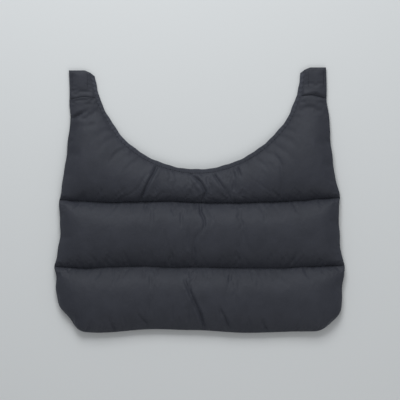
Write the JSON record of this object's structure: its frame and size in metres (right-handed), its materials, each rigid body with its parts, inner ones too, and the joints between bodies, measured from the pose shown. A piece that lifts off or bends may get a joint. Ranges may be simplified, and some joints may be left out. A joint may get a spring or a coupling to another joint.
{
  "type": "back protector",
  "caption": "Quilted padded back panel with horizontal wadded channels, a scooped bound neck and two shoulder tabs with hook patches underneath.",
  "frame": {"origin": "middle of the outline, on the surface that the lining rests on", "axes": "+X across the back, +Y from the hem towards the shoulder tabs, +Z out through the quilted face"},
  "size_m": [0.419, 0.381, 0.023],
  "materials": {
    "shell_nylon": "matt charcoal nylon with a faint blue cast",
    "lining": "matt black-grey polyester lining",
    "wadding": "off-white polyester wadding",
    "binding": "matt folded nylon tape",
    "thread": "dull black polyester thread",
    "hook_tape": "black nylon hook tape"
  },
  "bodies": {
    "upper_panel": {"upper_backing": "lining", "upper_fill": "wadding", "upper_cover": "shell_nylon", "neck_binding": "binding", "neck_topstitch": "thread", "upper_quilt_thread": "thread", "left_tab_thread": "thread", "right_tab_thread": "thread"},
    "middle_panel": {"middle_backing": "lining", "middle_fill": "wadding", "middle_cover": "shell_nylon", "lower_quilt_thread": "thread"},
    "lower_panel": {"lower_backing": "lining", "lower_fill": "wadding", "lower_cover": "shell_nylon"},
    "left_tab": {"left_tab_backing": "lining", "left_tab_fill": "wadding", "left_tab_cover": "shell_nylon", "left_tab_binding": "binding", "left_tab_topstitch": "thread", "left_hook_patch": "hook_tape"},
    "right_tab": {"right_tab_backing": "lining", "right_tab_fill": "wadding", "right_tab_cover": "shell_nylon", "right_tab_binding": "binding", "right_tab_topstitch": "thread", "right_hook_patch": "hook_tape"}
  },
  "joints": [
    {"name": "upper_fold", "type": "hinge", "parent": "upper_panel", "child": "middle_panel", "pos_m": [0, -0.0005, 0.008], "axis": [-1, 0, 0], "range_deg": [0, 90]},
    {"name": "lower_fold", "type": "hinge", "parent": "middle_panel", "child": "lower_panel", "pos_m": [0, -0.0955, 0.008], "axis": [-1, 0, 0], "range_deg": [0, 90]},
    {"name": "left_tab_fold", "type": "hinge", "parent": "upper_panel", "child": "left_tab", "pos_m": [-0.165, 0.1495, 0.0032], "axis": [1, 0, 0], "range_deg": [0, 120]},
    {"name": "right_tab_fold", "type": "hinge", "parent": "upper_panel", "child": "right_tab", "pos_m": [0.165, 0.1495, 0.0032], "axis": [1, 0, 0], "range_deg": [0, 120]}
  ]
}
